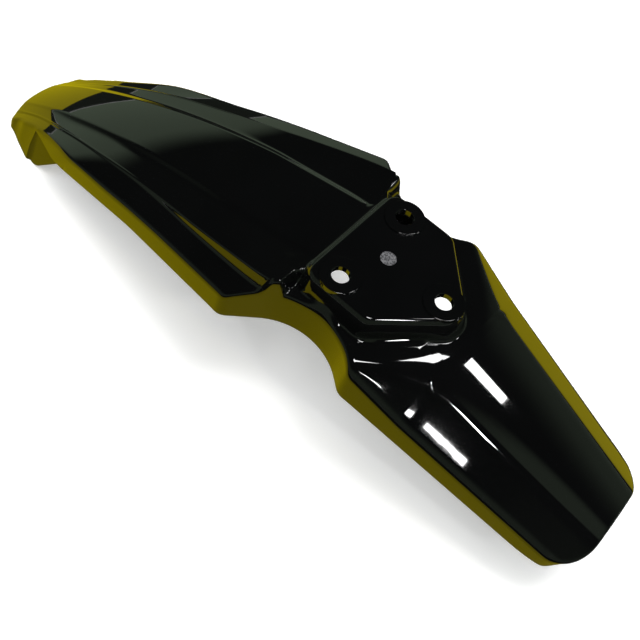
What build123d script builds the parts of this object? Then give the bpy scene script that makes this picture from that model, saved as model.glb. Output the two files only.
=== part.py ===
"""Front mudguard of a light motorcycle: one moulded plastic shell in millimetres, +X forward, +Z up.

The origin is the centre of the bolt circle, on the faces of the bolt pads that meet the fork crown.
"""

import os
from math import acos, atan2, cos, hypot, pi, radians, sin, sqrt, tan

from build123d import *

# Shell
wall = 3.0
draft = 5.0

# Mounting platform with its bolts, and the shelf round it
bolt_spacing = 60.0
bolt_hole = 11.0
pad_diameter = 25.0
pad_height = 1.0
platform_side_margin = 13.0
platform_front_margin = 17.68
platform_straight = 47.0
platform_lobe = 13.5
lobe_flat = 0.5
platform_corner = 9.0
platform_draft = 17.0
platform_edge = 2.5
platform_foot = 3.0
shelf_depth = 15.0
shelf_behind = 10.86
mark_diameter = 10.0
mark_depth = 0.4
mark_x = 6.0

# Centre panel of the beak
panel_start_depth = 6.0
panel_slope = 0.235
panel_bend_x = 110.0
panel_bend = 0.00104
panel_crown = 0.8
panel_half_width = 25.5
panel_taper = 0.058

# Stepped ridge along each edge of the panel
step_width = 4.2
step_least = 1.0
step_rear_x = 30.0
step_full_x = 60.0
step_fade_x = 245.0
step_end_x = 290.0
step_slope = 0.55

# Flanks, valleys and wings beside the panel
flank_half_width = 57.5
flank_share = 0.45
flank_share_x = 200.0
flank_rise = 2.6
flank_drop = 4.0
flank_rear_x = 30.0
flank_front_x = 150.0
valley_width = 4.0
valley_depth = 7.6
valley_least = 0.6
valley_growth = 1.2
wing_tip_x = 62.0
wing_root_x = 170.0
wing_half_span = 77.0
wing_drop = 11.0

# Nose and cheeks
nose_x = 316.0
nose_radius = 58.0
nose_corner = 22.0
nose_bend_x = 262.0
nose_bend = 0.0009
nose_rear_x = 165.0
nose_front_x = 235.0
nose_drop = 4.0
nose_flank_drop = 2.6
cheek_x = 302.0
cheek_half_width = 40.9
cheek_inset = 7.5
cheek_draft = 20.0
cheek_rear_x = 185.0
cheek_front_x = 285.0
lip_depth = 120.5

# Hollow in each cheek, under a fin that starts at a corner of the skirt
hollow_depth = 2.0
hollow_lean = 18.0
hollow_front_x = 270.0
fin_front_depth = 94.0

# Waist, drawn in to clear the fork legs
waist_x = 13.0
waist_shelf = 8.5
waist_radius = 44.0
wing_tip_run = 27.0
wing_tip_radius = 7.0
tail_shoulder_run = 13.7
tail_shoulder_radius = 6.0

# Tail
tail_x = -185.5
tail_flare_length = 32.0
tail_end_corner = 30.0
crown_front_drop = 0.6
crown_rear_depth = 57.0
crease_front_half_width = 34.0
crease_front_drop = 4.0
crease_rear_half_width = 22.0
crease_rear_depth = 60.0
crease_flare_half_width = 53.0
crease_bevel = 2.0
facet_slope = 0.61
fold_front_half_width = 59.8
fold_rear_half_width = 42.8

# Lower edge of the skirts
lip_rear_x = 265.0
cheek_skirt_x = 228.0
cheek_skirt_depth = 85.0
wing_skirt_x = 150.0
wing_skirt_depth = 60.0
waist_skirt_depth = 40.5
tail_skirt_x = -18.0
tail_knee_x = -160.0
tail_knee_depth = 79.0
tail_end_depth = 77.5
skirt_corner = 9.0
skirt_curve = 120.0
tail_knee_radius = 60.0

# Worked out from the sizes above
bolt_circle = 2 * bolt_spacing / sqrt(3)
platform_half_width = bolt_spacing / 2 + platform_side_margin
platform_front = bolt_circle / 4 + platform_front_margin
waist_half_width = platform_half_width + waist_shelf
tail_front_x = -bolt_circle / 2 - platform_lobe - shelf_behind
tail_flare_x = tail_front_x + tail_flare_length
crown_front_depth = shelf_depth + crown_front_drop
crease_front_depth = shelf_depth + crease_front_drop
platform_half_radii = [platform_corner, platform_corner, platform_lobe]
platform_radii = platform_half_radii + platform_half_radii[::-1]
skirt_radii = [skirt_corner, skirt_corner, skirt_curve, skirt_curve, skirt_curve, tail_knee_radius]

# How far the cutting forms run past the shell
overhang = 20.0
past_end = 30.0
past_nose = 5.0
past_side = 2.0
facet_reach = 60.0
floor = 2 * lip_depth

# Stations along the beak
beak_steps = 15


def flare(depth):
    """How much further out the drafted walls are at the lip than at a given depth."""
    return (lip_depth - depth) * tan(radians(draft))


def ease(x, start, end):
    """Smooth rise from nought at start to one at end."""
    share = min(1.0, max(0.0, (x - start) / (end - start)))
    return share**2 * (3 - 2 * share)


def panel_depth(x):
    """Depth of the panel's edges below the bolt pads."""
    past = max(0.0, x - panel_bend_x)
    rolled = max(0.0, x - nose_bend_x)
    straight = panel_start_depth + panel_slope * (x - platform_front)
    return straight + panel_bend * past**2 + nose_bend * rolled**2


def panel_fall(x):
    """Steepness of the panel at a station."""
    past = max(0.0, x - panel_bend_x)
    rolled = max(0.0, x - nose_bend_x)
    return panel_slope + 2 * panel_bend * past + 2 * nose_bend * rolled


def side_run():
    """Slope of the sides in plan, from the wing tips to the cheeks."""
    tip_y = wing_half_span + flare(panel_depth(wing_tip_x) + wing_drop)
    return (cheek_half_width - tip_y) / (cheek_x - wing_tip_x)


def side_y(x):
    """Half width of the plan outline along the beak, at the depth of the lip."""
    return cheek_half_width + side_run() * (x - cheek_x)


def beak_section(x):
    """Half section of the beak as (y, z), from the middle outwards and down the cheek."""
    depth = panel_depth(x)
    ridge = panel_half_width - panel_taper * max(0.0, x - panel_bend_x)
    step_share = ease(x, step_rear_x, step_full_x) - ease(x, step_fade_x, step_end_x)
    step = step_least + (step_width - step_least) * step_share
    foot = ridge + step
    ahead = ease(x, nose_rear_x, nose_front_x)
    fold_depth = depth + wing_drop + (nose_drop - wing_drop) * ahead
    inset = (cheek_inset + past_side) * ease(x, cheek_rear_x, cheek_front_x)
    fold = side_y(x) - flare(fold_depth) + past_side - inset
    flank_depth = depth - flank_rise + (flank_rise + flank_drop) * ease(x, flank_rear_x, flank_front_x)
    flank_depth += (nose_flank_drop - flank_drop) * ahead
    tip_foot = panel_half_width + step_width
    tip_share = (flank_half_width - tip_foot) / (wing_half_span + past_side - tip_foot)
    share = tip_share + (flank_share - tip_share) * ease(x, wing_tip_x, flank_share_x)
    flank = foot + (fold - foot) * share
    valley = flank + min(valley_width, (fold - flank) / 2)
    valley_share = max(0.0, wing_root_x - x) / (wing_root_x - wing_tip_x)
    valley_drop = valley_least + (valley_depth - valley_least) * valley_share**valley_growth
    cheek_depth = floor - overhang
    return [
        (0, panel_crown - depth),
        (ridge, -depth),
        (foot, -depth - step * step_slope),
        (flank, -flank_depth),
        (valley, -flank_depth - valley_drop),
        (fold, -fold_depth),
        (fold + (cheek_depth - fold_depth) * tan(radians(cheek_draft)), -cheek_depth),
    ]


def tail_section(x):
    """Half section of the tail as (y, z), from the middle outwards."""
    back = (tail_front_x - x) / (tail_front_x - tail_x)
    crown_depth = crown_front_depth + (crown_rear_depth - crown_front_depth) * back
    if x > tail_front_x:
        flared = (x - tail_front_x) / (tail_flare_x - tail_front_x)
        crease = crease_front_half_width + (crease_flare_half_width - crease_front_half_width) * flared
        crease_depth = crease_front_depth + (shelf_depth - crease_front_depth) * flared
    else:
        crease = crease_front_half_width + (crease_rear_half_width - crease_front_half_width) * back
        crease_depth = crease_front_depth + (crease_rear_depth - crease_front_depth) * back
    crown_drop = (crease_depth - crown_depth) * (1 - crease_bevel / crease) ** 2
    return [
        (0, -crown_depth),
        (crease - crease_bevel, -crown_depth - crown_drop),
        (crease + crease_bevel, -crease_depth - facet_slope * crease_bevel),
        (crease + facet_reach, -crease_depth - facet_slope * facet_reach),
    ]


def drawn_in(half, distance):
    """A half section moved inwards by a distance, square to each of its sides."""
    mirrored = [(-half[1][0], half[1][1]), *half]
    moved = []
    for i in range(1, len(mirrored)):
        sides = zip(mirrored[i - 1 : i + 1], mirrored[i : i + 2])
        normals = []
        for (y0, z0), (y1, z1) in sides:
            length = hypot(y1 - y0, z1 - z0)
            normals.append(((z1 - z0) / length, (y0 - y1) / length))
        (ay, az), (by, bz) = normals[0], normals[-1]
        scale = distance / (1 + ay * by + az * bz)
        moved.append((mirrored[i][0] + (ay + by) * scale, mirrored[i][1] + (az + bz) * scale))
    return moved


def draw_section(half):
    """Draws a whole section with an arc over its middle, closed well below the lip."""
    other = [(-y, z) for y, z in half]
    ThreePointArc(other[1], half[0], half[1])
    Polyline(*half[1:], (half[-1][0], -floor), (other[-1][0], -floor), *other[:0:-1])


def on_line(x, y, slope, centre, reach, side):
    """Point of a plan line at a distance from a centre, ahead of it for side 1 or behind it for -1."""
    rise = y + slope * (centre[0] - x) - centre[1]
    root = sqrt((slope * rise) ** 2 - (1 + slope**2) * (rise**2 - reach**2))
    along = (side * root - slope * rise) / (1 + slope**2)
    return (centre[0] + along, centre[1] + rise + slope * along)


def plan_corners(end_x):
    """Corners and corner radii of one side of the plan, from nose to tail, at the depth of the lip."""
    nose = on_line(cheek_x, cheek_half_width, side_run(), (nose_x - nose_radius, 0), nose_radius, 1)
    waist_r = waist_radius - flare(waist_skirt_depth)
    centre = (waist_x, waist_half_width + waist_radius)
    tip_reach = hypot(waist_r, wing_tip_run)
    tip = on_line(cheek_x, cheek_half_width, side_run(), centre, tip_reach, 1)
    fold_front_drop = facet_slope * (fold_front_half_width - crease_front_half_width)
    fold_rear_drop = facet_slope * (fold_rear_half_width - crease_rear_half_width)
    tail_y = fold_front_half_width + flare(crease_front_depth + fold_front_drop)
    end_y = fold_rear_half_width + flare(crease_rear_depth + fold_rear_drop)
    tail_run = (tail_y - end_y) / (tail_front_x - tail_x)
    shoulder_reach = hypot(waist_r, tail_shoulder_run)
    shoulder = on_line(tail_front_x, tail_y, tail_run, centre, shoulder_reach, -1)
    front_turn = atan2(tip[1] - centre[1], tip[0] - centre[0]) - acos(waist_r / tip_reach)
    rear_turn = atan2(shoulder[1] - centre[1], shoulder[0] - centre[0]) + acos(waist_r / shoulder_reach)
    waist_reach = waist_r / cos((front_turn - rear_turn) / 2)
    waist_turn = (front_turn + rear_turn) / 2
    points = [
        nose,
        tip,
        (centre[0] + waist_reach * cos(waist_turn), centre[1] + waist_reach * sin(waist_turn)),
        shoulder,
        (end_x, tail_y + tail_run * (end_x - tail_front_x)),
        (end_x, 0),
    ]
    tip_r = wing_tip_radius + flare(panel_depth(wing_tip_x) + wing_drop)
    shoulder_r = tail_shoulder_radius + flare(shelf_depth)
    return points, [tip_r, waist_r, shoulder_r, tail_end_corner]


def platform_corners():
    """Corners of the platform's top, its sides running in to a lobe round the rear bolt."""
    side_x = platform_front - platform_straight
    lobe_x = -bolt_circle / 2
    lobe_turn = pi - atan2(platform_half_width, side_x - lobe_x)
    lobe_turn -= acos(platform_lobe / hypot(platform_half_width, side_x - lobe_x))
    lobe_y = platform_lobe * tan(lobe_turn / 2) + lobe_flat
    half = [
        (platform_front, platform_half_width),
        (side_x, platform_half_width),
        (lobe_x - platform_lobe, lobe_y),
    ]
    return half + [(x, -y) for x, y in reversed(half)]


def hollow(skin):
    """Both cheek hollows, drawn in by a skin thickness."""
    fin_run = (fin_front_depth - cheek_skirt_depth) / (hollow_front_x - cheek_skirt_x)
    rear_x = cheek_skirt_x - skin
    front_x = hollow_front_x + skin
    lean = radians(hollow_lean)
    facing = (-side_run() * cos(lean), cos(lean), sin(lean))
    back = Plane((cheek_x, cheek_half_width - hollow_depth, -lip_depth), z_dir=facing)
    with BuildPart() as cut:
        with BuildSketch(Plane.XZ):
            with BuildLine():
                Polyline(
                    (rear_x, skin - cheek_skirt_depth - fin_run * (rear_x - cheek_skirt_x)),
                    (front_x, skin - cheek_skirt_depth - fin_run * (front_x - cheek_skirt_x)),
                    (front_x, -floor),
                    (rear_x, -floor),
                    close=True,
                )
            make_face()
        extrude(amount=-2 * wing_half_span)
        split(bisect_by=back.offset(-skin), keep=Keep.TOP)
        mirror(about=Plane.XZ)
    return cut.part


def form(skin, open_end):
    """Closed form of the mudguard, drawn in by a skin thickness and carried on past the tail end."""
    tail_fall = (crown_rear_depth - crown_front_depth) / (tail_front_x - tail_x)
    beak_x = platform_front + skin
    beak_pitch = (nose_x + past_nose - beak_x) / beak_steps
    end_x = tail_x - flare(crown_rear_depth) - open_end
    rear_x = end_x - overhang
    with BuildPart() as body:
        for x in [rear_x, tail_front_x, tail_flare_x, 2 * tail_flare_x - tail_front_x, beak_x]:
            with BuildSketch(Plane.YZ.offset(x)):
                with BuildLine():
                    draw_section(drawn_in(tail_section(x), skin * hypot(1, tail_fall)))
                make_face()
        loft(ruled=True)
        with BuildSketch(Plane.XY.offset(-shelf_depth - skin)):
            Rectangle(2 * (beak_x - rear_x), 4 * wing_half_span)
        extrude(amount=floor, mode=Mode.SUBTRACT)
        for x in [beak_x + beak_pitch * i for i in range(beak_steps + 1)]:
            with BuildSketch(Plane.YZ.offset(x)):
                with BuildLine():
                    draw_section(drawn_in(beak_section(x), skin * hypot(1, panel_fall(x))))
                make_face()
        loft()
        points, radii = plan_corners(end_x)
        with BuildSketch(Plane.XY.offset(-lip_depth)) as plan:
            with BuildLine():
                RadiusArc((nose_x, 0), points[0], -nose_radius)
                FilletPolyline(points, radius=radii)
                Line(points[-1], (nose_x, 0))
            make_face()
            mirror(about=Plane.XZ)
            tips = plan.vertices().filter_by(lambda v: abs(v.X - points[0][0]) < past_nose)
            fillet(tips, nose_corner)
            if skin:
                offset(amount=-skin / cos(radians(draft)))
        extrude(amount=lip_depth, taper=draft, mode=Mode.INTERSECT)
        add(hollow(skin), mode=Mode.SUBTRACT)
        slant = tan(radians(platform_draft))
        spread = (shelf_depth - pad_height) * slant - skin * (1 / cos(radians(platform_draft)) - slant)
        with BuildSketch(Plane.XY.offset(-shelf_depth - skin)):
            with BuildLine():
                FilletPolyline(platform_corners(), radius=platform_radii, close=True)
            make_face()
            offset(amount=spread)
        extrude(amount=shelf_depth - pad_height, taper=platform_draft)
        if skin:
            with BuildSketch(Plane.XY.offset(-shelf_depth - skin)):
                with Locations((platform_front, 0)):
                    Rectangle(4 * skin, 2 * (platform_half_width - platform_corner))
            extrude(amount=shelf_depth - panel_depth(beak_x) - wall)
    return body.part


def skirt_corners():
    """Corners of the lower edge, seen from the side, from ahead of the nose to behind the tail."""
    end_fall = (tail_end_depth - tail_knee_depth) / (tail_knee_x - tail_x)
    return [
        (nose_x + overhang, -lip_depth),
        (lip_rear_x, -lip_depth),
        (cheek_skirt_x, -cheek_skirt_depth),
        (wing_skirt_x, -wing_skirt_depth),
        (wing_tip_x, -waist_skirt_depth),
        (tail_skirt_x, -waist_skirt_depth),
        (tail_knee_x, -tail_knee_depth),
        (tail_x - overhang, -tail_end_depth - end_fall * overhang),
    ]


def wall_edges(builder, level):
    """Edges of the platform's sloping walls at a level."""
    lean = sin(radians(platform_draft))
    walls = builder.faces().filter_by(lambda f: abs(f.normal_at().Z - lean) < 0.01)
    return walls.edges().filter_by(lambda e: abs(e.center().Z - level) < 0.01)


os.makedirs("parts", exist_ok=True)

with BuildPart() as mudguard:
    add(form(0, 0))
    fillet(wall_edges(mudguard, -pad_height), platform_edge)
    fillet(wall_edges(mudguard, -shelf_depth), platform_foot)
    add(form(wall, past_end), mode=Mode.SUBTRACT)
    with BuildSketch(Plane.XZ):
        skirt = skirt_corners()
        with BuildLine():
            FilletPolyline(skirt, radius=skirt_radii)
            Polyline(skirt[-1], (skirt[-1][0], -floor), (skirt[0][0], -floor), skirt[0])
        make_face()
    extrude(amount=2 * wing_half_span, both=True, mode=Mode.SUBTRACT)
    with BuildSketch(Plane.XY.offset(-pad_height)):
        with PolarLocations(bolt_circle / 2, 3, start_angle=60):
            Circle(pad_diameter / 2)
    extrude(amount=pad_height)
    with BuildSketch(Plane.XY):
        with PolarLocations(bolt_circle / 2, 3, start_angle=60):
            Circle(bolt_hole / 2)
    extrude(amount=-shelf_depth, mode=Mode.SUBTRACT)
    with BuildSketch(Plane.XY.offset(-pad_height)):
        with Locations((mark_x, 0)):
            Circle(mark_diameter / 2)
    extrude(amount=-mark_depth, mode=Mode.SUBTRACT)

mudguard.part.label = "mudguard"
export_step(mudguard.part, "parts/mudguard.step")
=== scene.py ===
"""Front mudguard of a light motorcycle in gloss black plastic, on a plain pale floor.

The shell is one closed mesh. Its rows run from the nose to the tail. Its columns run from the middle over
the top, round the fold and down the wall to the lower edge. The left half is worked out and then mirrored.
"""

from math import acos, atan2, cos, hypot, pi, radians, sin, sqrt, tan
from types import SimpleNamespace

import bmesh
import bpy
import numpy as np
from mathutils import Matrix, Vector


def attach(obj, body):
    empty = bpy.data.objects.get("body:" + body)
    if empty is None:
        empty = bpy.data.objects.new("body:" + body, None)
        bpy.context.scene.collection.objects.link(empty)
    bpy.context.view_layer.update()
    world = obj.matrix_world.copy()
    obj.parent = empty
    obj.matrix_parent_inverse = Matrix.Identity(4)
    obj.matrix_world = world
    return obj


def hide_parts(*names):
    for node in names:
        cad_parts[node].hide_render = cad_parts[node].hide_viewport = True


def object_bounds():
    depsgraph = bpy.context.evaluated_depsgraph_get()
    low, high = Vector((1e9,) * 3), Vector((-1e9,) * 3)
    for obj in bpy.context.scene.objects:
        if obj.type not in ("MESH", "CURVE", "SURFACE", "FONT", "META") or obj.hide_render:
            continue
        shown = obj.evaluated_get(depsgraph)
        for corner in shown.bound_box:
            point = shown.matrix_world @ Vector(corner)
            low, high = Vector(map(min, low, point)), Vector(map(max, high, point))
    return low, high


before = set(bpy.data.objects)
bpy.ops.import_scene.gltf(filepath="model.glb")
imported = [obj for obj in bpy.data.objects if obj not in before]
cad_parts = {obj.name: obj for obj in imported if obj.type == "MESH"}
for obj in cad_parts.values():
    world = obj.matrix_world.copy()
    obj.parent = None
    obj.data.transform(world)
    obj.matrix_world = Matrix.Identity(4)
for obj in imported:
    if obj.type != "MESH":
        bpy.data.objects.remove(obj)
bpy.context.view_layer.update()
scene = bpy.context.scene
scene.view_settings.view_transform = "Standard"
mm = 0.001
tiny = 1e-9

# Shell, with lengths in millimetres and angles in degrees here and below, as in the part
wall = 3.0
draft = 5.0
lip_depth = 120.5

# Platform, bolt holes and round mark
bolt_spacing = 60.0
bolt_circle = 2 * bolt_spacing / sqrt(3)
bolt_turns = (60, 180, 300)
bolt_hole = 11.0
pad_diameter = 25.0
pad_height = 1.0
platform_half_width = 43.0
platform_front = 35.0
platform_straight = 47.0
platform_lobe = 13.5
lobe_flat = 0.5
platform_corner = 9.0
platform_draft = 17.0
shelf_depth = 15.0
mark_diameter = 10.0
mark_depth = 0.4
mark_x = 6.0

# Beak: centre panel, stepped ridges, flanks, valleys and wings
panel_start_depth = 6.0
panel_slope = 0.235
panel_bend_x = 110.0
panel_bend = 0.00104
panel_crown = 0.8
panel_half_width = 25.5
panel_taper = 0.058
step_width = 4.2
step_least = 1.0
step_rear_x = 30.0
step_full_x = 60.0
step_fade_x = 245.0
step_end_x = 290.0
step_slope = 0.55
flank_half_width = 57.5
flank_share = 0.45
flank_share_x = 200.0
flank_rise = 2.6
flank_drop = 4.0
flank_rear_x = 30.0
flank_front_x = 150.0
valley_steepness = 2.8
valley_depth = 7.6
valley_least = 0.6
valley_growth = 1.2
wing_tip_x = 62.0
wing_root_x = 170.0
wing_half_span = 77.0
wing_drop = 11.0
past_side = 2.0

# Nose, cheeks and the hollow under the fin
nose_x = 316.0
nose_radius = 58.0
nose_corner = 22.0
nose_bend_x = 262.0
nose_bend = 0.0009
nose_rear_x = 165.0
nose_front_x = 235.0
nose_drop = 4.0
nose_flank_drop = 2.6
cheek_x = 302.0
cheek_half_width = 40.9
cheek_inset = 7.5
cheek_draft = 20.0
cheek_rear_x = 185.0
cheek_front_x = 285.0
hollow_depth = 2.0
hollow_lean = 18.0
hollow_front_x = 270.0
fin_rear_x = 228.0
fin_rear_depth = 85.0
fin_front_depth = 94.0

# Waist, wing tips and tail
waist_x = 13.0
waist_half_width = 51.5
waist_radius = 44.0
waist_depth = 40.5
wing_tip_run = 27.0
wing_tip_radius = 7.0
tail_shoulder_run = 13.7
tail_shoulder_radius = 6.0
tail_x = -185.5
tail_front_x = -59.0
tail_flare_x = -27.0
tail_end_corner = 30.0
crown_front_depth = 15.6
crown_rear_depth = 57.0
crease_front_half_width = 34.0
crease_front_depth = 19.0
crease_rear_half_width = 22.0
crease_rear_depth = 60.0
crease_flare_half_width = 53.0
facet_slope = 0.61
fold_front_half_width = 59.8
fold_rear_half_width = 42.8

# Lower edge from the nose to the tail as (x, depth), and how softly it bends at each point but the last
skirt_line = [
    (265.0, lip_depth),
    (fin_rear_x, fin_rear_depth),
    (150.0, 60.0),
    (wing_tip_x, waist_depth),
    (-18.0, waist_depth),
    (-160.0, 79.0),
    (tail_x, 77.5),
]
skirt_softness = [4.0, 4.0, 8.0, 8.0, 12.0, 12.0]

# How softly the edges of the moulding are rounded, and how far in the platform's rounding starts
ridge_softness = 0.9
foot_softness = 1.6
flank_softness = 0.8
valley_softness = 1.4
crease_softness = 1.6
shelf_softness = 2.5
cheek_softness = 1.2
platform_edge_softness = 2.6
platform_edge_inset = 0.8
platform_foot_softness = 3.0

# Step from the shelf up to the beak, which lies further forward beside the platform's corners
cliff_x = 30.6
cliff_run = 5.0
cliff_side_shift = 4.2
cliff_side_from = 36.0
cliff_side_to = 45.0

# Spacing of the points along the outlines, and where the distance to the platform is worked out
outline_spacing = 0.3
platform_spacing = 0.6
arc_least_points = 3
near_rear_x = -75.0
near_front_x = 60.0
far_gap = 60.0

# Search for the fold between top and wall, and the least a wall must face sideways to count in full
fold_guess = 50.0
fold_passes = 60
fold_step = 0.7
least_sideways = 0.35

# Rows: zones as (from x, to x, spacing), and the two fans of rows round the nose and the tail's end
nose_row_x = 296.0
tail_row_x = -150.0
row_zones = [
    (nose_row_x, 66, 2.6),
    (66, 43, 1.0),
    (43, 30, 0.55),
    (30, -10, 1.8),
    (-10, -36, 1.3),
    (-36, -58, 0.65),
    (-58, tail_row_x, 2.8),
]
nose_row_count = 26
tail_row_count = 40
nose_fan_x = 305.0
tail_fan_x = -166.0
end_turn_from = 18.0
end_turn_to = 40.0

# Wall of each row: its lower edge, the hollow, and how far the rounding of the fold reaches at each x
trim_passes = 6
least_skirt = 1.0
hollow_rear_x = 224.0
hollow_full_x = 242.0
fin_clear = 0.05
fold_reach = [
    (-190, 3.0),
    (-150, 4.0),
    (-60, 4.0),
    (0, 4.2),
    (40, 3.6),
    (60, 3.0),
    (75, 3.0),
    (220, 3.0),
    (300, 2.4),
    (316, 1.6),
]
end_reach_cut = 0.6
roll_share = 0.45
hollow_roll_share = 0.4
end_lip = 0.3

# Columns: how many lie between the lines they follow, and how far they keep from those lines
top_counts = [9, 5, 5, 7, 9, 5, 7]
fillet_count = 5
upper_count = 6
ledge_count = 3
lower_count = 6
ridge_columns = (-1.2, 0.8)
foot_column = 1.5
flank_column = -1.5
valley_column = 1.5
wing_column_share = 0.4
platform_columns = (-7.0, -3.0, -0.6, 2.4, 4.6)
platform_least_width = 14.0
platform_front_clear = 0.5
crease_columns = (-8.0, -3.0, 0.0, 3.0, 8.0)
beak_columns_from = 35.0
beak_columns_to = 46.0
tail_columns_from = 52.0
tail_columns_to = 68.0
column_gap = 0.35
column_squeeze = 0.985

# Inner face: how its direction is evened out, and how it is smoothed where it would fold over itself
facing_passes = 3
level_columns = 3
turn_limit = 0.35
unfold_passes = 400
unfold_margin = 2

# Turned pieces
turned_segments = 64
pad_root = -3.7
pad_edge = 0.35
pad_edge_middle = 0.1
hole_root = -9.0
hole_bevel = 0.3
above_pads = 1.0
sharp_angle = 38


# Small sums

def smooth_max(a, b, reach):
    """The larger of two values, rounded off where they come within a reach of each other."""
    gap = np.maximum(reach - np.abs(a - b), 0) / reach
    return np.maximum(a, b) + gap**2 * reach / 4


def smooth_min(a, b, reach):
    """The smaller of two values, rounded off in the same way."""
    return -smooth_max(-a, -b, reach)


def ease(x, start, end):
    """Nought before the start and one after the end, with a soft change between."""
    share = np.clip((x - start) / (end - start), 0, 1)
    return share**2 * (3 - 2 * share)


def between(first, second, share):
    """The value that lies a share of the way from the first to the second."""
    return first + (second - first) * share


def bent(level, bends):
    """A line that bends softly: each bend is the distance past it, the slope after it and its softness."""
    before = 0
    for past, slope, softness in bends:
        level = level + (slope - before) * smooth_max(past, 0, softness)
        before = slope
    return level


def unit(vectors):
    """The same directions with a length of one."""
    return vectors / (np.linalg.norm(vectors, axis=-1) + tiny)[..., None]


def neighbours(grid):
    """Sum of the four points next to each point of a grid, which goes on level past its borders."""
    padded = np.pad(grid, ((1, 1), (1, 1), (0, 0)), mode="edge")
    return padded[:-2, 1:-1] + padded[2:, 1:-1] + padded[1:-1, :-2] + padded[1:-1, 2:]


# Form of the top

def flare(depth):
    """How far the drafted wall lies inside its outline at the lip."""
    return (lip_depth - depth) * tan(radians(draft))


def panel_depth(x):
    """Depth of the centre panel's ridges, which bend down towards the nose."""
    past = np.maximum(0.0, x - panel_bend_x)
    rolled = np.maximum(0.0, x - nose_bend_x)
    straight = panel_start_depth + panel_slope * (x - platform_front)
    return straight + panel_bend * past**2 + nose_bend * rolled**2


tip_y = wing_half_span + flare(panel_depth(wing_tip_x) + wing_drop)
side_run = (cheek_half_width - tip_y) / (cheek_x - wing_tip_x)


def beak_lines(x):
    """The lines that run along the beak: how far each lies from the middle at x, and how deep."""
    line = SimpleNamespace(depth=panel_depth(x))
    line.ridge = panel_half_width - panel_taper * np.maximum(0.0, x - panel_bend_x)
    step_share = ease(x, step_rear_x, step_full_x) - ease(x, step_fade_x, step_end_x)
    line.step = between(step_least, step_width, step_share)
    line.foot = line.ridge + line.step
    ahead = ease(x, nose_rear_x, nose_front_x)
    line.fold_depth = line.depth + between(wing_drop, nose_drop, ahead)
    inset = (cheek_inset + past_side) * ease(x, cheek_rear_x, cheek_front_x)
    side = cheek_half_width + side_run * (x - cheek_x) - flare(line.fold_depth)
    line.fold = side + past_side - inset
    line.flank_depth = line.depth + between(-flank_rise, flank_drop, ease(x, flank_rear_x, flank_front_x))
    line.flank_depth = line.flank_depth + (nose_flank_drop - flank_drop) * ahead
    tip_foot = panel_half_width + step_width
    tip_share = (flank_half_width - tip_foot) / (wing_half_span + past_side - tip_foot)
    share = between(tip_share, flank_share, ease(x, wing_tip_x, flank_share_x))
    line.flank = between(line.foot, line.fold, share)
    valley_share = np.maximum(0.0, wing_root_x - x) / (wing_root_x - wing_tip_x)
    line.valley_drop = between(valley_least, valley_depth, valley_share**valley_growth)
    valley_run = np.minimum(line.valley_drop / valley_steepness, (line.fold - line.flank) / 2)
    line.valley = line.flank + valley_run
    return line


def beak_height(x, y):
    """Height of the beak's top: panel, step, flank, valley and wing, one after another."""
    line = beak_lines(np.maximum(x, platform_front))
    flank_fall = (line.depth + line.step * step_slope - line.flank_depth) / (line.flank - line.foot)
    valley_fall = -line.valley_drop / (line.valley - line.flank)
    wing_fall = (line.flank_depth + line.valley_drop - line.fold_depth) / (line.fold - line.valley)
    bends = [
        (y - line.ridge, -step_slope, ridge_softness),
        (y - line.foot, flank_fall, foot_softness),
        (y - line.flank, valley_fall, flank_softness),
        (y - line.valley, wing_fall, valley_softness),
    ]
    panel = panel_crown * np.maximum(0, 1 - (y / line.ridge) ** 2) - line.depth
    return bent(panel, bends)


def tail_height(x, y):
    """Height of the tail's top, and of the shelf round the platform."""
    back = (tail_front_x - x) / (tail_front_x - tail_x)
    behind = np.maximum(0, back)
    flared = np.maximum(0, (x - tail_front_x) / (tail_flare_x - tail_front_x))
    crown = between(crown_front_depth, crown_rear_depth, back)
    crease = between(crease_front_half_width, crease_flare_half_width, flared)
    crease = crease + (crease_rear_half_width - crease_front_half_width) * behind
    crease_depth = between(crease_front_depth, shelf_depth, flared)
    crease_depth = crease_depth + (crease_rear_depth - crease_front_depth) * behind
    inside = -crown - (crease_depth - crown) * (y / crease) ** 2
    outside = -crease_depth - facet_slope * (y - crease)
    roof = smooth_min(inside, outside, crease_softness)
    return smooth_min(roof, -shelf_depth, shelf_softness)


# Outlines

def arc(centre, radius, start, end, spacing=outline_spacing):
    """Points along an arc."""
    count = max(arc_least_points, int(abs(end - start) * radius / spacing))
    turn = np.linspace(start, end, count)
    return np.column_stack((centre[0] + radius * np.cos(turn), centre[1] + radius * np.sin(turn)))


def rounded(points, radii, spacing=outline_spacing):
    """Points along a run of straight lines whose corners are rounded."""
    path = [np.array([points[0]])]
    for corner, radius, before, after in zip(points[1:], radii, points, points[2:]):
        p = np.array(corner)
        u = unit(np.array(before) - p)
        v = unit(np.array(after) - p)
        half = acos(float(u @ v)) / 2
        centre = p + unit(u + v) * radius / sin(half)
        first = p + u * radius / tan(half) - centre
        last = p + v * radius / tan(half) - centre
        start = atan2(first[1], first[0])
        turn = (atan2(last[1], last[0]) - start + pi) % (2 * pi) - pi
        path.append(arc(centre, radius, start, start + turn, spacing))
    path.append(np.array([points[-1]]))
    filled = []
    for run, following in zip(path, path[1:]):
        filled.append(run)
        gap = following[0] - run[-1]
        count = int(np.linalg.norm(gap) / spacing)
        steps = np.linspace(0, 1, count + 2)[1:-1, None]
        filled.append(run[-1] + gap * steps)
    filled.append(path[-1])
    return np.concatenate(filled)


def on_line(x, y, slope, centre, reach, side):
    """Where a sloped line through (x, y) is a reach from a centre, ahead (side 1) or behind (side -1)."""
    rise = y + slope * (centre[0] - x) - centre[1]
    root = sqrt((slope * rise) ** 2 - (1 + slope**2) * (rise**2 - reach**2))
    along = (side * root - slope * rise) / (1 + slope**2)
    return (centre[0] + along, centre[1] + rise + slope * along)


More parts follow.
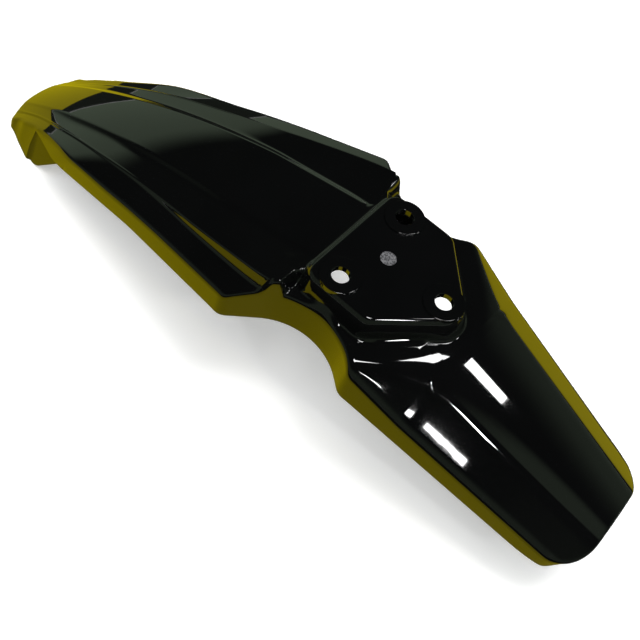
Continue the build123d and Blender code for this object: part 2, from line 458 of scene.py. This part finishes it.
def tail_side(fold, crease, crease_depth):
    """Half width of the tail at the depth of the lip, from its fold and its crease."""
    return fold + flare(crease_depth + facet_slope * (fold - crease))


def plan_outline():
    """Left side of the plan at the depth of the lip, from the nose to the tail."""
    nose_centre = (nose_x - nose_radius, 0)
    drop = nose_corner * hypot(1, side_run)
    bend = on_line(cheek_x, cheek_half_width - drop, side_run, nose_centre, nose_radius - nose_corner, 1)
    nose_turn = atan2(bend[1], bend[0] - nose_centre[0])
    side_turn = atan2(1, -side_run)
    nose = arc(nose_centre, nose_radius, 0, nose_turn)
    cheek_corner = arc(bend, nose_corner, nose_turn, side_turn)
    front = np.concatenate((nose, cheek_corner[1:]))

    waist_r = waist_radius - flare(waist_depth)
    centre = (waist_x, waist_half_width + waist_radius)
    tip_reach = hypot(waist_r, wing_tip_run)
    tip = on_line(cheek_x, cheek_half_width, side_run, centre, tip_reach, 1)
    tail_y = tail_side(fold_front_half_width, crease_front_half_width, crease_front_depth)
    end_y = tail_side(fold_rear_half_width, crease_rear_half_width, crease_rear_depth)
    tail_run = (tail_y - end_y) / (tail_front_x - tail_x)
    shoulder_reach = hypot(waist_r, tail_shoulder_run)
    shoulder = on_line(tail_front_x, tail_y, tail_run, centre, shoulder_reach, -1)
    front_turn = atan2(tip[1] - centre[1], tip[0] - centre[0]) - acos(waist_r / tip_reach)
    rear_turn = atan2(shoulder[1] - centre[1], shoulder[0] - centre[0]) + acos(waist_r / shoulder_reach)
    waist_reach = waist_r / cos((front_turn - rear_turn) / 2)
    waist_turn = (front_turn + rear_turn) / 2
    end_x = tail_x - flare(crown_rear_depth)
    points = [
        tuple(front[-1]),
        tip,
        (centre[0] + waist_reach * cos(waist_turn), centre[1] + waist_reach * sin(waist_turn)),
        shoulder,
        (end_x, tail_y + tail_run * (end_x - tail_front_x)),
        (end_x, 0),
    ]
    tip_r = wing_tip_radius + flare(panel_depth(wing_tip_x) + wing_drop)
    shoulder_r = tail_shoulder_radius + flare(shelf_depth)
    rest = rounded(points, [tip_r, waist_r, shoulder_r, tail_end_corner])
    return np.concatenate((front, rest[1:]))


def platform_outline():
    """Left side of the edge of the platform's top, from its front to its rear lobe."""
    side_x = platform_front - platform_straight
    lobe_x = -bolt_circle / 2
    lobe_turn = pi - atan2(platform_half_width, side_x - lobe_x)
    lobe_turn -= acos(platform_lobe / hypot(platform_half_width, side_x - lobe_x))
    lobe_y = platform_lobe * tan(lobe_turn / 2) + lobe_flat
    points = [
        (platform_front, 0),
        (platform_front, platform_half_width),
        (side_x, platform_half_width),
        (lobe_x - platform_lobe, lobe_y),
        (lobe_x - platform_lobe, 0),
    ]
    return rounded(points, [platform_corner, platform_corner, platform_lobe], platform_spacing)


platform_edge = platform_outline()


def platform_width(x, outside=None):
    """Half width of the platform's top at x."""
    rear_to_front = platform_edge[::-1]
    return np.interp(x, rear_to_front[:, 0], rear_to_front[:, 1], left=outside, right=outside)


def platform_gap(x, y):
    """Distance outside the edge of the platform's top, negative within it."""
    x, y = np.broadcast_arrays(x, y)
    gap = np.full(x.shape, far_gap)
    near = (x > near_rear_x) & (x < near_front_x)
    place = np.column_stack((x[near], y[near]))
    start = platform_edge[:-1]
    run = platform_edge[1:] - start
    offset = place[:, None, :] - start[None]
    share = np.clip((offset * run).sum(2) / (run**2).sum(1), 0, 1)
    away = np.linalg.norm(offset - share[..., None] * run, axis=2).min(1)
    within = (place[:, 1] < platform_width(place[:, 0], outside=-1)) & (place[:, 0] < platform_front)
    gap[near] = np.where(within, -away, away)
    return gap


def top_height(x, y):
    """Height of the whole top: tail and shelf, the step up to the beak, and the platform."""
    y = np.abs(y)
    start = cliff_x + cliff_side_shift * ease(y, cliff_side_from, cliff_side_to)
    height = between(tail_height(x, y), beak_height(x, y), ease(x, start, start + cliff_run))
    outside = smooth_max(platform_gap(x, y) + platform_edge_inset, 0, platform_edge_softness)
    platform = -pad_height - outside / tan(radians(platform_draft))
    return smooth_max(height, platform, platform_foot_softness)


# Form of the wall

def drawn_in(place, normal, over):
    """Places on the wall moved in along its own direction, where they lie too far over to the side."""
    inward = over / np.maximum(normal[:, 1], least_sideways)
    return place - normal * inward[:, None]


def wall_place(outline, normal, depth):
    """Plan of the outer wall at a depth: the drafted outline, drawn in where the cheek leans."""
    place = outline - normal * flare(depth)[:, None]
    line = beak_lines(np.maximum(place[:, 0], platform_front))
    cheek = line.fold + (depth - line.fold_depth) * tan(radians(cheek_draft))
    return drawn_in(place, normal, smooth_max(place[:, 1] - cheek, 0, cheek_softness))


def hollow_place(outline, normal, depth):
    """Plan of the outer wall at a depth, without and with the hollow under the fin."""
    place = wall_place(outline, normal, depth)
    back = cheek_half_width - hollow_depth + side_run * (place[:, 0] - cheek_x)
    back = back - tan(radians(hollow_lean)) * (lip_depth - depth)
    return place, drawn_in(place, normal, np.maximum(place[:, 1] - back, 0))


def skirt_depth(x):
    """Depth of the lower edge."""
    bends = []
    for (x0, depth0), (x1, depth1), softness in zip(skirt_line, skirt_line[1:], skirt_softness):
        bends.append((x0 - x, (depth1 - depth0) / (x0 - x1), softness))
    return bent(skirt_line[0][1], bends)


def fold_at(outline, normal):
    """Plan and depth of the fold, where the wall meets the top."""
    depth = np.full(len(outline), fold_guess)
    for _ in range(fold_passes):
        place = wall_place(outline, normal, depth)
        depth = between(depth, -top_height(place[:, 0], place[:, 1]), fold_step)
    return wall_place(outline, normal, depth), depth


# Grid of the outer face

def lay_rows():
    """What belongs to each row of the grid, from the nose round to the middle of the tail's end."""
    outline = plan_outline()
    run = np.gradient(outline, axis=0)
    along = np.concatenate(([0], np.cumsum(np.linalg.norm(np.diff(outline, axis=0), axis=1))))
    normal = unit(np.column_stack((run[:, 1], -run[:, 0])))
    normal[0] = (1, 0)
    normal[-1] = (-1, 0)
    fold, _ = fold_at(outline, normal)
    stations = np.concatenate([np.arange(a, b, -pitch) for a, b, pitch in row_zones] + [[tail_row_x]])
    side_rows = np.interp(-stations, -fold[:, 0], along)
    nose_rows = np.linspace(0, side_rows[0], nose_row_count)[:-1]
    tail_rows = np.linspace(side_rows[-1], along[-1], tail_row_count)[1:]
    row_along = np.concatenate((nose_rows, side_rows, tail_rows))

    row = SimpleNamespace(count=len(row_along), first=len(nose_rows))
    row.last = row.count - len(tail_rows) - 1
    row.outline = np.column_stack([np.interp(row_along, along, values) for values in outline.T])
    row.normal = unit(np.column_stack([np.interp(row_along, along, values) for values in normal.T]))
    row.fold, row.fold_depth = fold_at(row.outline, row.normal)
    row.fold[[0, -1], 1] = 0
    row.x = row.fold[:, 0]
    middle_x = row.x.copy()
    middle_x[: row.first] = np.linspace(nose_fan_x, nose_row_x, len(nose_rows) + 1)[:-1]
    middle_x[row.last + 1 :] = np.linspace(tail_row_x, tail_fan_x, len(tail_rows) + 1)[1:]
    row.middle = np.column_stack((middle_x, np.zeros(row.count)))
    end_turn = ease(-row.normal[:, 0], sin(radians(end_turn_from)), sin(radians(end_turn_to)))
    row.end_turn = end_turn * (row.x < tail_row_x)
    return row


def lay_walls(row):
    """Depths of the wall of each row: the foot of its rounded fold, the fin and the lower edge."""
    trim_x = row.x
    for _ in range(trim_passes):
        trim = skirt_depth(trim_x)
        trim_x = wall_place(row.outline, row.normal, trim)[:, 0]
    trim = np.maximum(trim, row.fold_depth + least_skirt)
    fin_run = (fin_front_depth - fin_rear_depth) / (hollow_front_x - fin_rear_x)
    row.fin = np.minimum(fin_rear_depth + fin_run * (row.x - fin_rear_x), trim - fin_clear)
    row.hollowed = (row.x > hollow_rear_x) & (row.x < hollow_front_x) & (np.arange(row.count) >= row.first)
    reach_x, reach = zip(*fold_reach)
    row.reach = np.interp(row.x, reach_x, reach) * (1 - end_reach_cut * row.end_turn)
    roll = np.minimum(row.reach, roll_share * (trim - row.fold_depth))
    hollow_roll = np.minimum(roll, hollow_roll_share * (row.fin - row.fold_depth))
    row.below = row.fold_depth + np.where(row.hollowed, hollow_roll, roll)
    row.trim = between(trim, row.below + end_lip, row.end_turn)


def column_lines(x, edge):
    """Distances from the middle that columns are led along, so that they follow the edges of the form."""
    line = beak_lines(np.maximum(x, platform_front))
    beak = [line.ridge + offset for offset in ridge_columns]
    beak += [line.foot + foot_column, line.flank + flank_column, line.valley + valley_column]
    beak += [between(line.valley, edge, wing_column_share), edge]
    width = platform_width(np.minimum(x, platform_front - platform_front_clear))
    width = np.maximum(width, platform_least_width)
    base = [width + offset for offset in platform_columns]
    base += [(base[-1] + edge) / 2, edge]
    behind = np.clip((tail_front_x - x) / (tail_front_x - tail_x), 0, 1)
    crease = between(crease_front_half_width, crease_rear_half_width, behind)
    tail = [crease + offset for offset in crease_columns]
    tail += [(tail[-1] + edge) / 2, edge]
    front = ease(x, beak_columns_from, beak_columns_to)
    rear = ease(-x, tail_columns_from, tail_columns_to)
    shares = ((base, (1 - front) * (1 - rear)), (beak, front), (tail, rear))
    lines = sum(np.column_stack(kind) * share[:, None] for kind, share in shares)
    for k in reversed(range(lines.shape[1] - 1)):
        lines[:, k] = np.minimum(lines[:, k], lines[:, k + 1] - column_gap)
    return lines


def column_shares(row):
    """How far each column of the top lies from the middle towards the fold, as a share, row by row."""
    span = np.linalg.norm(row.fold - row.middle, axis=1)
    keys = column_lines(np.clip(row.x, tail_row_x, nose_row_x), span - row.reach) / span[:, None]
    keys[: row.first] = keys[row.first]
    keys[row.last + 1 :] = keys[row.last]
    keys[:, -1] = 1 - row.reach / span
    for k in reversed(range(keys.shape[1] - 1)):
        keys[:, k] = np.minimum(keys[:, k], keys[:, k + 1] * column_squeeze)
    columns = [np.zeros((row.count, 1))]
    before = np.zeros(row.count)
    for key, count in zip(keys.T, top_counts):
        steps = np.arange(1, count + 1) / count
        columns.append(before[:, None] + (key - before)[:, None] * steps)
        before = key
    return np.concatenate(columns, axis=1)


def outer_face(row):
    """Points of the outer face: the top, the rounded fold and the wall, with the hollow under the fin."""
    share = column_shares(row)
    top = row.middle[:, None, :] + (row.fold - row.middle)[:, None, :] * share[..., None]
    height = top_height(top[..., 0].ravel(), top[..., 1].ravel()).reshape(share.shape)
    grid = [np.dstack((top, height[..., None]))]

    edge = grid[0][:, -1]
    corner = np.column_stack((row.fold, -row.fold_depth))
    side = np.column_stack((wall_place(row.outline, row.normal, row.below), -row.below))
    for t in np.arange(1, fillet_count + 1) / fillet_count:
        grid.append(((1 - t) ** 2 * edge + 2 * t * (1 - t) * corner + t**2 * side)[:, None])

    wall_count = upper_count + ledge_count + lower_count
    hollow_share = ease(row.x, hollow_rear_x, hollow_full_x) * row.hollowed
    for k in range(1, wall_count + 1):
        even = between(row.below, row.trim, k / wall_count)
        if k <= upper_count:
            stepped = between(row.below, row.fin, k / upper_count)
        else:
            stepped = between(row.fin, row.trim, max(0, (k - upper_count - ledge_count) / lower_count))
        depth = np.where(row.hollowed, stepped, even)
        drawn = min(1, max(0, (k - upper_count) / ledge_count)) * hollow_share
        plain, hollow = hollow_place(row.outline, row.normal, depth)
        grid.append(np.column_stack((between(plain, hollow, drawn[:, None]), -depth))[:, None])
    return on_middle(np.concatenate(grid, axis=1))


def on_middle(grid):
    """The grid with its first and last rows and its first column put on the middle plane."""
    grid[[0, -1], :, 1] = 0
    grid[:, 0, 1] = 0
    return grid


# Grid of the inner face

def facing_out(outer, row):
    """Outward directions over the outer face, evened out, and kept as on the top at the tail's end."""
    facing = unit(np.cross(np.gradient(outer, axis=1), np.gradient(outer, axis=0)))
    for _ in range(facing_passes):
        facing = unit(on_middle(facing * 2 + neighbours(facing)))
    edge = sum(top_counts)
    level = facing[:, edge - level_columns : edge - level_columns + 1]
    facing[:, edge:] = between(facing[:, edge:], level, row.end_turn[:, None, None])
    return facing


def turned_over(sheet, facing):
    """Marks the points of cells that have turned over against the outer face, and the points near them."""
    cells = unit(np.cross(sheet[:-1, 1:] - sheet[1:, :-1], sheet[1:, 1:] - sheet[:-1, :-1]))
    mean_facing = (facing[1:, 1:] + facing[:-1, :-1] + facing[1:, :-1] + facing[:-1, 1:]) / 4
    bad = (cells * mean_facing).sum(2) < turn_limit
    mark = np.zeros(sheet.shape[:2], bool)
    for i in (0, 1):
        for k in (0, 1):
            mark[i : i + bad.shape[0], k : k + bad.shape[1]] |= bad
    for _ in range(unfold_margin):
        wide = np.pad(mark, 1)
        mark = mark | wide[:-2, 1:-1] | wide[2:, 1:-1] | wide[1:-1, :-2] | wide[1:-1, 2:]
    return mark


def inner_face(outer, row):
    """Points of the inner face: the outer face moved in by the wall, smoothed where it would fold over."""
    facing = facing_out(outer, row)
    inner = outer - wall * facing
    inner[..., 2] = np.maximum(inner[..., 2], -lip_depth)
    for _ in range(unfold_passes):
        mark = turned_over(inner, facing)
        mark[:, -1] = False
        if not mark.any():
            break
        smoothed = (inner + neighbours(inner) / 4) / 2
        inner = on_middle(np.where(mark[..., None], smoothed, inner))
    return inner


# Mesh

def new_piece(name, mesh):
    """An object of its own for a mesh."""
    piece = bpy.data.objects.new(name, mesh)
    scene.collection.objects.link(piece)
    return piece


def clean(mesh, weld, sliver):
    """Welds points that lie together, takes out slivers and turns faces outwards. Distances in metres."""
    work = bmesh.new()
    work.from_mesh(mesh)
    bmesh.ops.remove_doubles(work, verts=work.verts, dist=weld)
    bmesh.ops.dissolve_degenerate(work, edges=work.edges, dist=sliver)
    bmesh.ops.recalc_face_normals(work, faces=work.faces)
    work.to_mesh(mesh)
    work.free()


def shell_piece(outer, inner):
    """One closed piece from both faces, the lower edge between them and the mirror image of all three."""
    count = outer.shape[0] * outer.shape[1]
    layers = np.concatenate((outer.reshape(-1, 3), inner.reshape(-1, 3)))
    spots = np.concatenate((layers, layers * (1, -1, 1))) * mm
    index = np.arange(count).reshape(outer.shape[:2])
    corners = (index[:-1, :-1], index[:-1, 1:], index[1:, 1:], index[1:, :-1])
    sheet = np.stack(corners, axis=-1).reshape(-1, 4)
    here = index[:-1, -1]
    following = index[1:, -1]
    rim = np.stack((here, here + count, following + count, following), axis=-1)
    half = np.concatenate((sheet, sheet[:, ::-1] + count, rim))
    faces = np.concatenate((half, half[:, ::-1] + 2 * count))
    mesh = bpy.data.meshes.new("moulded_shell")
    mesh.from_pydata(spots.tolist(), [], faces.tolist())
    clean(mesh, weld=1e-6, sliver=1e-7)
    return new_piece("moulded_shell", mesh)


def turned(name, profile, places):
    """Turned solids, one at each place, from a profile of (radius, height) in millimetres."""
    turns = [2 * pi * (k + 0.5) / turned_segments for k in range(turned_segments)]
    work = bmesh.new()
    for x, y in places:
        rings = []
        for radius, height in profile:
            ring = [Vector((x + radius * cos(t), y + radius * sin(t), height)) * mm for t in turns]
            rings.append([work.verts.new(spot) for spot in ring])
        for low, high in zip(rings, rings[1:]):
            for k in range(turned_segments):
                work.faces.new((low[k], low[k - 1], high[k - 1], high[k]))
        work.faces.new(rings[0])
        work.faces.new(rings[-1][::-1])
    bmesh.ops.recalc_face_normals(work, faces=work.faces)
    mesh = bpy.data.meshes.new(name)
    work.to_mesh(mesh)
    work.free()
    return new_piece(name, mesh)


def combine(piece, other, operation):
    """Joins or cuts one solid with another, which is then put away."""
    change = piece.modifiers.new(other.name, "BOOLEAN")
    change.operation = operation
    change.solver = "EXACT"
    change.object = other
    bpy.context.view_layer.objects.active = piece
    bpy.ops.object.modifier_apply(modifier=change.name)
    bpy.data.objects.remove(other)


def add_bolt_pads(piece):
    """Raised round pads, bevelled bolt holes and the shallow round mark."""
    circle_r = bolt_circle / 2
    places = [(circle_r * cos(radians(turn)), circle_r * sin(radians(turn))) for turn in bolt_turns]
    pad_r = pad_diameter / 2
    pad = [
        (pad_r, pad_root),
        (pad_r, -pad_edge),
        (pad_r - pad_edge_middle, -pad_edge_middle),
        (pad_r - pad_edge, 0.0),
    ]
    hole_r = bolt_hole / 2
    hole = [
        (hole_r, hole_root),
        (hole_r, -hole_bevel),
        (hole_r + hole_bevel, 0.0),
        (hole_r + hole_bevel + above_pads, above_pads),
    ]
    mark_r = mark_diameter / 2
    mark = [(mark_r, -pad_height - mark_depth), (mark_r, above_pads)]
    combine(piece, turned("pads", pad, places), "UNION")
    combine(piece, turned("holes", hole, places), "DIFFERENCE")
    combine(piece, turned("mark", mark, [(mark_x, 0)]), "DIFFERENCE")
    clean(piece.data, weld=2e-6, sliver=1e-6)


def shade_smooth(piece):
    """Smooth shading that leaves sharp edges sharp and flat faces flat."""
    mesh = piece.data
    mesh.polygons.foreach_set("use_smooth", [True] * len(mesh.polygons))
    mesh.set_sharp_from_angle(angle=radians(sharp_angle))
    weigh = piece.modifiers.new("weigh", "WEIGHTED_NORMAL")
    weigh.keep_sharp = True
    bpy.context.view_layer.objects.active = piece
    bpy.ops.object.modifier_apply(modifier=weigh.name)


rows = lay_rows()
lay_walls(rows)
outer = outer_face(rows)
shell = shell_piece(outer, inner_face(outer, rows))
add_bolt_pads(shell)
shade_smooth(shell)


# Nodes

def node(tree, kind, **inputs):
    """A new node with some of its sockets set."""
    made = tree.nodes.new(kind)
    for name, value in inputs.items():
        made.inputs[name.replace("_", " ")].default_value = value
    return made


def result_of(tree, operation, first, second):
    """The result of a calculation with two numbers or links."""
    made = tree.nodes.new("ShaderNodeMath")
    made.operation = operation
    for socket, value in zip(made.inputs, (first, second)):
        if isinstance(value, (int, float)):
            socket.default_value = value
        else:
            tree.links.new(value, socket)
    return made.outputs["Value"]


def noise(tree, place, scale, detail):
    """A cloudy value."""
    made = node(tree, "ShaderNodeTexNoise", Scale=scale, Detail=detail)
    tree.links.new(place, made.inputs["Vector"])
    return made.outputs["Fac"]


def ramp(tree, value, dark, pale, start=0.0, end=1.0):
    """Colours from dark to pale that follow a value."""
    made = tree.nodes.new("ShaderNodeValToRGB")
    for element, colour, position in zip(made.color_ramp.elements, (dark, pale), (start, end)):
        element.color = (*colour, 1)
        element.position = position
    tree.links.new(value, made.inputs["Fac"])
    return made.outputs["Color"]


def soft_range(tree, value, start, end, first, second):
    """A soft change from a first to a second strength while a value goes from start to end."""
    made = node(tree, "ShaderNodeMapRange", From_Min=start, From_Max=end, To_Min=first, To_Max=second)
    made.interpolation_type = "SMOOTHSTEP"
    tree.links.new(value, made.inputs["Value"])
    return made.outputs["Result"]


# Plastic

def gloss_plastic(name):
    """Black plastic right through, with a polished skin, a faint waviness and one dull round mark."""
    material = bpy.data.materials.new(name)
    material.use_nodes = True
    tree = material.node_tree
    link = tree.links.new
    shader = tree.nodes["Principled BSDF"]
    shader.inputs["Coat Weight"].default_value = 0.7
    shader.inputs["Coat Roughness"].default_value = 0.02
    place = tree.nodes.new("ShaderNodeTexCoord").outputs["Object"]
    cloud = noise(tree, place, scale=16.0, detail=4.0)
    speckle = noise(tree, place, scale=900.0, detail=2.0)
    peel = noise(tree, place, scale=170.0, detail=1.0)

    away = tree.nodes.new("ShaderNodeVectorMath")
    away.operation = "DISTANCE"
    link(place, away.inputs[0])
    away.inputs[1].default_value = (mark_x * mm, 0, -(pad_height + mark_depth) * mm)
    mark_rim = 0.1
    marked = result_of(tree, "LESS_THAN", away.outputs["Value"], (mark_diameter / 2 - mark_rim) * mm)

    colour = tree.nodes.new("ShaderNodeMix")
    colour.data_type = "RGBA"
    ends = {socket.identifier: socket for socket in (*colour.inputs, *colour.outputs)}
    black = ramp(tree, cloud, (0.0012, 0.0012, 0.0014), (0.0028, 0.0028, 0.0032))
    grey = ramp(tree, speckle, (0.03, 0.03, 0.032), (0.17, 0.17, 0.18), start=0.42, end=0.56)
    link(marked, ends["Factor_Float"])
    link(black, ends["A_Color"])
    link(grey, ends["B_Color"])
    link(ends["Result_Color"], shader.inputs["Base Color"])

    mark_dullness = 0.5
    polish = node(tree, "ShaderNodeMapRange", From_Min=0.3, From_Max=0.7, To_Min=0.02, To_Max=0.045)
    link(cloud, polish.inputs["Value"])
    dulled = result_of(tree, "MULTIPLY", marked, mark_dullness)
    link(result_of(tree, "ADD", polish.outputs["Result"], dulled), shader.inputs["Roughness"])

    wave = node(tree, "ShaderNodeBump", Strength=0.012, Distance=0.0004)
    link(peel, wave.inputs["Height"])
    link(wave.outputs["Normal"], shader.inputs["Normal"])
    link(wave.outputs["Normal"], shader.inputs["Coat Normal"])
    return material


shell.data.materials.clear()
shell.data.materials.append(gloss_plastic("gloss_black"))
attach(shell, "root")
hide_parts("mudguard")


# Floor and cards, in metres. The cards are painted reflections: a yellow glow for a lit table, and black
# for shade

def floor_paint():
    """Pale paint that camera, glossy and transmission rays see a little lighter than it is lit."""
    floor_lift = 0.45
    material = bpy.data.materials.new("pale_floor")
    material.use_nodes = True
    tree = material.node_tree
    shader = tree.nodes["Principled BSDF"]
    shader.inputs["Base Color"].default_value = (0.8, 0.8, 0.8, 1)
    shader.inputs["Roughness"].default_value = 0.9
    shader.inputs["Emission Color"].default_value = (1, 1, 1, 1)
    path = tree.nodes.new("ShaderNodeLightPath").outputs
    seen = result_of(tree, "MAXIMUM", path["Is Camera Ray"], path["Is Glossy Ray"])
    seen = result_of(tree, "MAXIMUM", seen, path["Is Transmission Ray"])
    tree.links.new(result_of(tree, "MULTIPLY", seen, floor_lift), shader.inputs["Emission Strength"])
    return material


def card_paint(name, strength):
    """Black paint with a yellow glow: a painted reflection of a lit yellow table, and painted shade where
    the glow is nought.
    """
    material = bpy.data.materials.new(name)
    material.use_nodes = True
    shader = material.node_tree.nodes["Principled BSDF"]
    shader.inputs["Base Color"].default_value = (0, 0, 0, 1)
    shader.inputs["Emission Color"].default_value = (1.0, 0.82, 0.0, 1)
    shader.inputs["Emission Strength"].default_value = strength
    return material


def card(name, patches, height, strength):
    """Flat card seen only in the plastic's shine, made of patches with corners (x, y); it paints reflected
    light or shade there.
    """
    spots = [(x, y, height) for patch in patches for x, y in patch]
    ends = np.cumsum([len(patch) for patch in patches])
    faces = [range(end - len(patch), end) for end, patch in zip(ends, patches)]
    mesh = bpy.data.meshes.new(name)
    mesh.from_pydata(spots, [], faces)
    mesh.materials.append(card_paint(name, strength))
    piece = new_piece(name, mesh)
    piece.visible_camera = False
    piece.visible_diffuse = False
    piece.visible_shadow = False
    piece.visible_transmission = False


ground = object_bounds()[0][2]
floor_gap = 0.0005
shade_card_gap = 0.0004
glow_card_gap = 0.0003
floor_width = 9
floor_x = 0.06
bpy.ops.mesh.primitive_plane_add(size=floor_width, location=(floor_x, 0, ground - floor_gap))
floor = bpy.context.object
floor.name = "floor"
floor.data.materials.append(floor_paint())

# The dark card is painted shade, seen only in the plastic's shine: black for the dark room, and for the
# table in the part's shadow where the yellow patches leave gaps.
painted_shade_patch = [(-3, -3), (3, -3), (3, 3), (-3, 3)]
# The yellow card is a painted reflection: glowing patches for the lit parts of a yellow table round the
# part, left out under the part, behind it and where its shadow falls.
lit_table_left = [(-0.235, 0.05), (1.6, 0.05), (1.0, 0.5), (0.3, 0.5), (0.06, 0.27), (-0.235, 0.16)]
lit_table_right = [(-0.36, -1.2), (0.03, -1.2), (0.03, -0.3), (-0.36, -0.15)]
lit_table_front = [(0.25, -0.14), (1.6, -0.28), (1.6, 0.05), (0.25, 0.05)]
card("painted_shade_card", [painted_shade_patch], ground - shade_card_gap, strength=0.0)
card("painted_table_glow", [lit_table_left, lit_table_right, lit_table_front], ground - glow_card_gap, strength=0.62)


# Lamps, in metres and watts

def lamp(name, place, aim, size, power, along=(1, 0, 0)):
    """A flat lamp facing a point, its length lying along a direction."""
    light = bpy.data.lights.new(name, "AREA")
    light.shape = "RECTANGLE"
    light.size, light.size_y = size
    light.energy = power
    piece = new_piece(name, light)
    back = (Vector(place) - Vector(aim)).normalized()
    across = back.cross(Vector(along)).normalized()
    turn = Matrix((across.cross(back), across, back)).transposed().to_4x4()
    piece.matrix_world = Matrix.Translation(place) @ turn
    return piece


tail_middle = (-0.08, 0.02, -0.03)
platform_rear = (-0.045, 0.03, -0.016)
soft_top = lamp("soft_top", place=(0.1, 0.2, 1.5), aim=(0.06, 0, 0), size=(1.6, 1.6), power=24)
soft_top.visible_glossy = False
lamp("top_square", place=(-0.22, 0.02, 1.7), aim=(0, 0, 0), size=(0.36, 0.36), power=7.0)
lamp("crest_square", place=(-0.275, -0.69, 1.52), aim=platform_rear, size=(0.34, 0.20), power=3.5)
lamp(
    "right_strip",
    place=(-0.876, -0.803, 1.227),
    aim=tail_middle,
    size=(0.15, 0.15),
    power=2.0,
    along=(-0.909, 0, -0.417),
)
lamp(
    "left_strip",
    place=(-1.051, 0.826, 1.127),
    aim=tail_middle,
    size=(0.13, 0.017),
    power=0.22,
    along=(-0.844, -0.22, -0.488),
)
lamp(
    "rear_strip",
    place=(-1.05, 0.38, 1.25),
    aim=tail_middle,
    size=(0.13, 0.08),
    power=2.4,
    along=(-0.75, 0.3, -0.55),
)


# Room

def glow_toward(tree, sky, azimuth, elevation, spread, edge, strength):
    """A soft-edged round patch of the room, seen in a direction. Angles are in degrees."""
    turn = radians(azimuth)
    rise = radians(elevation)
    facing = tree.nodes.new("ShaderNodeVectorMath")
    facing.operation = "DOT_PRODUCT"
    tree.links.new(sky, facing.inputs[0])
    facing.inputs[1].default_value = (cos(turn) * cos(rise), sin(turn) * cos(rise), sin(rise))
    outside = cos(radians(spread + edge))
    inside = cos(radians(spread))
    return soft_range(tree, facing.outputs["Value"], outside, inside, 0.0, strength)


def room_light(tree):
    """Strength of the dim room in each direction: a low band ahead, a small window and a ring all round."""
    sky = tree.nodes.new("ShaderNodeTexCoord").outputs["Generated"]
    split = tree.nodes.new("ShaderNodeSeparateXYZ")
    tree.links.new(sky, split.inputs["Vector"])
    rise = split.outputs["Z"]
    dimmest = 0.012
    ahead = glow_toward(tree, sky, azimuth=-36, elevation=10, spread=22, edge=20, strength=1.0)
    band = result_of(tree, "MULTIPLY", ahead, soft_range(tree, rise, 0.24, 0.36, 0.26, 0.0))
    window = glow_toward(tree, sky, azimuth=-162, elevation=47, spread=4, edge=6, strength=0.16)
    front = glow_toward(tree, sky, azimuth=-45, elevation=15, spread=45, edge=25, strength=1.0)
    elsewhere = result_of(tree, "SUBTRACT", 1.0, front)
    ring = result_of(tree, "MULTIPLY", soft_range(tree, rise, 0.40, 0.68, 0.12, 0.0), elsewhere)
    lights = result_of(tree, "ADD", result_of(tree, "ADD", band, window), ring)
    return result_of(tree, "ADD", lights, dimmest)


def studio():
    """A dim room that lights the plastic, with a white backdrop for camera and transmission rays."""
    world = bpy.data.worlds.new("studio")
    world.use_nodes = True
    tree = world.node_tree
    link = tree.links.new
    dim = tree.nodes["Background"]
    dim.inputs["Color"].default_value = (0.78, 1.0, 0.70, 1)
    link(room_light(tree), dim.inputs["Strength"])
    white = node(tree, "ShaderNodeBackground", Color=(1, 1, 1, 1), Strength=1.0)
    path = tree.nodes.new("ShaderNodeLightPath").outputs
    backdrop = tree.nodes.new("ShaderNodeMixShader")
    seen = result_of(tree, "MAXIMUM", path["Is Camera Ray"], path["Is Transmission Ray"])
    link(seen, backdrop.inputs["Fac"])
    link(dim.outputs["Background"], backdrop.inputs[1])
    link(white.outputs["Background"], backdrop.inputs[2])
    link(backdrop.outputs["Shader"], tree.nodes["World Output"].inputs["Surface"])
    return world


scene.world = studio()

# Camera, where the photo was taken from
camera_place = (-0.0983, 0.2986, 0.4063)
right = Vector((-0.746, -0.641, 0.183)).normalized()
look = Vector((0.217, -0.493, -0.843)).normalized()
up = right.cross(look).normalized()
camera = new_piece("camera", bpy.data.cameras.new("camera"))
camera.data.sensor_width = 36
camera.data.lens = 50.625
camera.matrix_world = Matrix.Translation(camera_place) @ Matrix((right, up, -look)).transposed().to_4x4()
scene.camera = camera
